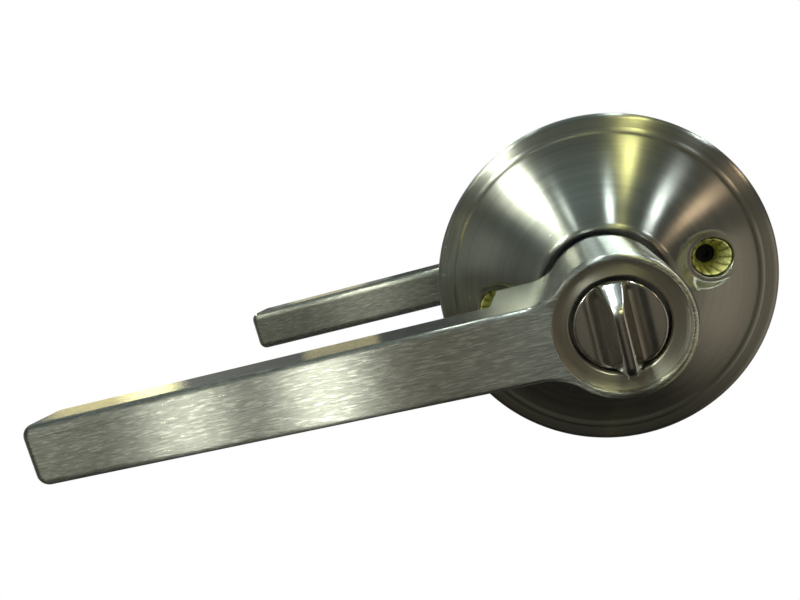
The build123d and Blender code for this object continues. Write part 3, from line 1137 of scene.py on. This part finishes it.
def stage_floor():
    """White sweep for the camera, dimmer and tinted in what the metal reflects."""
    bm = bmesh.new()
    rows = [(-4.0, FLOOR_Z), (SWEEP_Y, FLOOR_Z)]
    for k in range(1, SWEEP_STEPS + 1):
        a = math.pi / 2 * k / SWEEP_STEPS
        rows.append((SWEEP_Y + SWEEP_R * math.sin(a), FLOOR_Z + SWEEP_R - SWEEP_R * math.cos(a)))
    rows.append((SWEEP_Y + SWEEP_R, 4.0))
    last = None
    for y, z in rows:
        ring = [bm.verts.new((s * FLOOR_HALF, y, z)) for s in (-1, 1)]
        if last:
            bm.faces.new((last[0], last[1], ring[1], ring[0]))
        last = ring
    mesh = bpy.data.meshes.new("studio_sweep")
    bm.to_mesh(mesh)
    bm.free()
    smooth(mesh)
    obj = add_object("studio_sweep", mesh)
    mat, tree, out = new_material("studio_white")
    strength, behind = sweep_light(tree)
    dim = tree.nodes.new("ShaderNodeEmission")
    tree.links.new(mix_colour(tree, behind, (1.0, 0.88, 0.70), (0.94, 1.0, 0.96)), dim.inputs[0])
    tree.links.new(strength, dim.inputs[1])
    pale = tree.nodes.new("ShaderNodeEmission")
    pale.inputs[0].default_value = (1, 1, 1, 1)
    pale.inputs[1].default_value = 1.0
    path = tree.nodes.new("ShaderNodeLightPath")
    mix = tree.nodes.new("ShaderNodeMixShader")
    tree.links.new(path.outputs["Is Camera Ray"], mix.inputs[0])
    tree.links.new(dim.outputs[0], mix.inputs[1])
    tree.links.new(pale.outputs[0], mix.inputs[2])
    tree.links.new(mix.outputs[0], out.inputs[0])
    obj.data.materials.append(mat)


def softbox(name, one, two, width, radiance, colour):
    """Softbox between two points, facing the lock."""
    one, two = Vector(one), Vector(two)
    x_axis = (two - one).normalized()
    centre = (one + two) / 2
    z_axis = (centre - x_axis * centre.dot(x_axis)).normalized()
    y_axis = z_axis.cross(x_axis)
    length = (two - one).length
    data = bpy.data.lights.new(name, "AREA")
    data.shape = "RECTANGLE"
    data.size, data.size_y = length, width
    data.energy = radiance * math.pi * length * width
    data.color = colour
    obj = add_object(name, data)
    turn = Matrix((x_axis, y_axis, z_axis)).transposed().to_4x4()
    obj.matrix_world = Matrix.Translation(centre) @ turn
    obj.visible_camera = False
    return obj


def link_light(light, state, names):
    """Keeps a light to the named pieces, or away from them."""
    group = bpy.data.collections.new(light.name + "_receivers")
    for name in names:
        group.objects.link(bpy.data.objects[name])
    for entry in group.collection_objects:
        entry.light_linking.link_state = state
    light.light_linking.receiver_collection = group


ALL = None
BUT_LEVER = ("EXCLUDE", ("inner_lever_skin",))
BUT_LEVERS = ("EXCLUDE", ("inner_lever_skin", "outer_lever_skin"))
LEVER = ("INCLUDE", ("inner_lever_skin",))
REAR_LEVER = ("INCLUDE", ("outer_lever_skin",))
ROSE = ("INCLUDE", ("inner_rose_skin",))
CUPS = ("INCLUDE", ("screw_cup_right", "screw_cup_left"))
FRONT = ("INCLUDE", ("inner_lever_skin", "turn_button_skin", "inner_insert_skin"))
BUTTON = ("INCLUDE", ("turn_button_skin",))
OUTSIDE = ("INCLUDE", ("outer_lever_skin", "outer_rose_skin", "outer_insert_skin"))
STUDIO = [
    # name, one end and the other, width, radiance, colour, what it lights
    ("left_high", (-0.51, -0.66, 0.54), (-0.52, -0.40, 0.75), 0.035, 8.0, (0.98, 1.0, 0.84), BUT_LEVER),
    ("left_main", (-0.36, -0.77, 0.52), (-0.34, -0.45, 0.81), 0.04, 105.0, (0.94, 1.0, 0.86), BUT_LEVERS),
    ("left_top", (-0.22, -0.05, 0.97), (-0.16, 0.30, 0.94), 0.05, 6.0, (0.90, 1.0, 0.95), ALL),
    ("left_fill", (-0.80, -0.56, 0.26), (-0.60, -0.74, 0.28), 0.30, 0.45, (0.94, 1.0, 0.92), ALL),
    ("collar", (0.32, 0.05, 0.94), (0.38, 0.38, 0.84), 0.05, 20.0, (0.86, 0.98, 1.0), ALL),
    ("yellow", (0.235, -0.90, 0.38), (0.48, -0.50, 0.73), 0.014, 36.0, (1.0, 0.97, 0.38), ALL),
    ("right_high", (0.76, -0.25, 0.60), (0.83, 0.15, 0.53), 0.06, 15.0, (0.92, 1.0, 1.0), ALL),
    ("warm", (0.76, -0.62, 0.20), (0.92, -0.25, 0.28), 0.09, 3.8, (1.0, 0.72, 0.48), ALL),
    ("back_tip", (-0.73, 0.67, 0.09), (-0.665, 0.735, 0.14), 0.09, 1.6, (1.0, 0.84, 0.30), ALL),
    ("back_left", (-0.66, 0.74, 0.11), (-0.61, 0.78, 0.15), 0.09, 4.5, (1.0, 0.95, 0.50), ALL),
    ("back_right", (-0.44, 0.89, 0.13), (-0.33, 0.93, 0.17), 0.06, 1.5, (1.0, 0.90, 0.45), ALL),
    ("lip", (-0.40, 0.64, 0.66), (0.40, 0.64, 0.66), 0.10, 3.0, (0.86, 0.98, 1.0), ROSE),
    ("cups", (0.08, -0.30, 0.95), (0.34, -0.16, 0.93), 0.15, 45.0, (1.0, 1.0, 0.9), CUPS),
    ("far_band", (-0.555, -0.80, -0.22), (-0.555, -0.81, 0.04), 0.022, 24.0, (0.96, 1.0, 0.90), LEVER),
    ("near_band", (-0.39, -0.90, -0.22), (-0.39, -0.91, 0.04), 0.032, 27.0, (0.96, 1.0, 0.90), LEVER),
    ("hub_top", (0.12, 0.45, 0.88), (0.50, 0.42, 0.76), 0.12, 28.0, (0.82, 0.98, 1.0), LEVER),
    ("overhead", (-0.04, -0.38, 0.95), (-0.04, -0.14, 0.98), 0.12, 22.0, (0.80, 0.95, 1.0), FRONT),
    ("button_sky", (-0.04, -0.38, 0.95), (-0.04, -0.14, 0.98), 0.12, 14.0, (0.76, 0.93, 1.0), BUTTON),
    ("rear_band", (-0.36, -0.77, 0.52), (-0.34, -0.45, 0.81), 0.04, 15.0, (0.96, 1.0, 0.86), REAR_LEVER),
    ("rear_top", (-0.52, 1.0, 0.08), (-0.30, 1.0, 0.11), 0.08, 0.5, (0.95, 1.0, 0.92), REAR_LEVER),
    ("near_fill", (-0.20, -0.95, -0.22), (-0.20, -0.97, 0.04), 0.26, 0.5, (1.0, 0.92, 0.78), LEVER),
    ("tip_fill", (-0.72, -0.70, -0.22), (-0.72, -0.71, 0.04), 0.14, 0.6, (0.94, 1.0, 0.88), LEVER),
    ("out_main", (0.36, 0.79, 0.52), (0.34, 0.47, 0.81), 0.05, 45.0, (0.94, 1.0, 0.90), OUTSIDE),
    ("out_side", (-0.62, 0.68, 0.40), (-0.60, 0.40, 0.68), 0.06, 14.0, (1.0, 0.97, 0.86), OUTSIDE),
    ("out_fill", (0.80, 0.58, 0.26), (0.40, 0.90, 0.20), 0.40, 1.0, (0.95, 1.0, 0.95), OUTSIDE),
]
SKY = [  # from straight down to straight up
    (0.0, (0.012, 0.010, 0.009)),
    (0.4, (0.17, 0.155, 0.125)),
    (0.5, (0.12, 0.115, 0.095)),
    (0.56, (0.065, 0.068, 0.06)),
    (0.62, (0.08, 0.085, 0.075)),
    (0.78, (0.075, 0.09, 0.085)),
    (1.0, (0.20, 0.25, 0.25)),
]
CAMERA_AT = Vector((-4.513, -159.216, 25.829)) * MM
CAMERA_AIM = Vector((-0.24113, 0.96322, -0.11862))
CAMERA_UP = Vector((0.23482, 0.1765, 0.95588))
SENSOR = 36.0
FOCAL_SHARE = 0.89155  # focal length over sensor width


def light_world():
    """Dim sky for reflections, white for the camera."""
    world = bpy.data.worlds.new("studio")
    bpy.context.scene.world = world
    world.use_nodes = True
    tree = world.node_tree
    tree.nodes.clear()
    out = tree.nodes.new("ShaderNodeOutputWorld")
    background = tree.nodes.new("ShaderNodeBackground")
    tree.links.new(background.outputs[0], out.inputs[0])
    upward = axes_of(tree, coordinates(tree, "Generated"))[2]
    sky = ramp(tree, spread(tree, upward, -1.0, 1.0, 0.0, 1.0), SKY)
    path = tree.nodes.new("ShaderNodeLightPath")
    seen = mix_colour(tree, path.outputs["Is Camera Ray"], sky, (1.0, 1.0, 1.0))
    tree.links.new(seen, background.inputs[0])
    background.inputs[1].default_value = 1.0


def set_camera():
    data = bpy.data.cameras.new("camera")
    cam = add_object("camera", data)
    forward = CAMERA_AIM.normalized()
    right = forward.cross(CAMERA_UP).normalized()
    up = right.cross(forward).normalized()
    basis = Matrix((right, up, -forward)).transposed().to_4x4()
    cam.matrix_world = Matrix.Translation(CAMERA_AT) @ basis
    data.sensor_width = SENSOR
    data.lens = FOCAL_SHARE * SENSOR
    data.clip_start = 0.005
    bpy.context.scene.camera = cam


stage_floor()
for *box, lit in STUDIO:
    light = softbox(*box)
    if lit:
        link_light(light, *lit)
light_world()
set_camera()
bpy.context.scene.view_settings.view_transform = "Standard"
